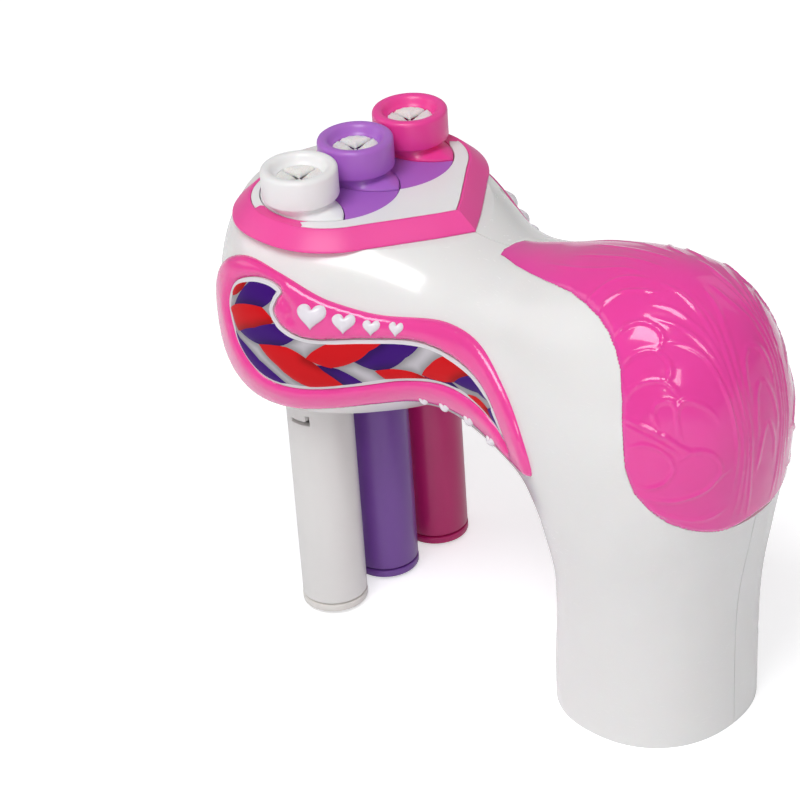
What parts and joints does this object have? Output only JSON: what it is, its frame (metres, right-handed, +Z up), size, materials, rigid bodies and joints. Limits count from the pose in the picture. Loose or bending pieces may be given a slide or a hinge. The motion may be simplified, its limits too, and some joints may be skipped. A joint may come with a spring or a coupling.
{
  "type": "automatic hair braider",
  "caption": "Handheld battery-powered hair braider: a pistol grip with a trigger and a head casing where capped, tube-carrying heads turn round one another to plait hair strands.",
  "frame": {"origin": "centre of the flat base of the grip, at the battery door", "axes": "+Z up along the grip; +X to the back of the hand, away from the heads; the row of heads lies along Y at x -96 mm, white head at -Y, pink head at +Y"},
  "size_m": [0.1652, 0.086, 0.1329],
  "materials": {
    "white_gloss": "gloss",
    "white_satin": "satin",
    "pink_gloss": "gloss",
    "pink_satin": "satin",
    "pink_dome": "high gloss",
    "purple_satin": "satin",
    "off_white": "satin",
    "braid_print": "satin",
    "pearl_white": "gloss",
    "foam": "matt",
    "black_plastic": "matt",
    "natural_plastic": "satin",
    "grey_plastic": "satin",
    "cell_jacket": "satin",
    "steel": "satin",
    "motor_can": "satin",
    "brass": "satin",
    "wire": "satin"
  },
  "bodies": {
    "housing": {"left_shell": "white_gloss", "right_shell": "white_gloss", "shell_screws": "steel", "deck_plate": "white_satin", "heart_rim": "pink_gloss", "left_bezel": "pink_gloss", "right_bezel": "pink_gloss", "left_braid_panel": "braid_print", "right_braid_panel": "braid_print", "left_hearts": "pearl_white", "right_hearts": "pearl_white", "dome_cover": "pink_dome", "battery_door": "white_satin", "door_screw": "steel", "battery_box": "black_plastic", "battery_cells": "cell_jacket", "battery_contacts": "steel", "motor": "motor_can", "gear_axles": "steel", "gearbox_frame": "grey_plastic", "gearbox_cover": "grey_plastic", "gearbox_screws": "steel", "track_plate": "white_satin", "trigger_spring": "steel", "micro_switch": "black_plastic", "switch_leads": "wire"},
    "driver": {"driver_gear": "natural_plastic"},
    "second_gear": {"second_gear": "natural_plastic"},
    "first_gear": {"first_gear": "natural_plastic"},
    "motor_pinion": {"motor_pinion": "brass"},
    "left_rotor": {"rotor_left": "purple_satin", "white_foot": "white_satin", "white_cap": "white_gloss", "white_pads": "foam"},
    "right_rotor": {"rotor_right": "purple_satin", "pink_foot": "pink_satin", "pink_cap": "pink_gloss", "pink_pads": "foam"},
    "purple_head": {"purple_foot": "purple_satin", "purple_cap": "purple_satin", "purple_pads": "foam"},
    "white_tube": {"white_tube": "white_gloss", "white_tube_ring": "off_white"},
    "purple_tube": {"purple_tube": "purple_satin", "purple_tube_ring": "purple_satin"},
    "pink_tube": {"pink_tube": "pink_gloss", "pink_tube_ring": "pink_satin"},
    "trigger": {"trigger": "pink_gloss"}
  },
  "joints": [
    {"name": "driver_spin", "type": "hinge", "parent": "housing", "child": "driver", "pos_m": [-0.06021, 0, 0.1], "axis": [0, 0, 1], "continuous": true},
    {"name": "second_gear_spin", "type": "hinge", "parent": "housing", "child": "second_gear", "pos_m": [-0.03941, 0, 0.1], "axis": [0, 0, 1], "continuous": true},
    {"name": "first_gear_spin", "type": "hinge", "parent": "housing", "child": "first_gear", "pos_m": [-0.02021, 0, 0.1], "axis": [0, 0, 1], "continuous": true},
    {"name": "motor_spin", "type": "hinge", "parent": "housing", "child": "motor_pinion", "pos_m": [-0.00021, 0, 0.1], "axis": [0, 0, 1], "continuous": true},
    {"name": "left_rotor_spin", "type": "hinge", "parent": "housing", "child": "left_rotor", "pos_m": [-0.096, -0.0105, 0.1], "axis": [0, 0, 1], "continuous": true},
    {"name": "right_rotor_turn", "type": "hinge", "parent": "housing", "child": "right_rotor", "pos_m": [-0.096, 0.0105, 0.1], "axis": [0, 0, 1], "range_deg": [0, 360]},
    {"name": "purple_head_turn", "type": "hinge", "parent": "left_rotor", "child": "purple_head", "pos_m": [-0.096, 0.0105, 0.1], "axis": [0, 0, 1], "range_deg": [0, 360]},
    {"name": "white_tube_pull", "type": "slide", "parent": "left_rotor", "child": "white_tube", "axis": [0, 0, -1], "range_m": [0, 0.016]},
    {"name": "purple_tube_pull", "type": "slide", "parent": "purple_head", "child": "purple_tube", "axis": [0, 0, -1], "range_m": [0, 0.016]},
    {"name": "pink_tube_pull", "type": "slide", "parent": "right_rotor", "child": "pink_tube", "axis": [0, 0, -1], "range_m": [0, 0.016]},
    {"name": "trigger_press", "type": "slide", "parent": "housing", "child": "trigger", "axis": [1, 0, 0], "range_m": [0, 0.003], "stiffness_N_per_m": 300, "springref_m": -0.003, "deforming": ["trigger_spring"]}
  ],
  "couplings": [
    {"joint": "left_rotor_spin", "follows": "driver_spin", "ratio": -1},
    {"joint": "second_gear_spin", "follows": "driver_spin", "ratio": -3.3333},
    {"joint": "first_gear_spin", "follows": "driver_spin", "ratio": 10},
    {"joint": "motor_spin", "follows": "driver_spin", "ratio": -40},
    {"joint": "purple_head_turn", "follows": "right_rotor_turn", "ratio": 1}
  ]
}
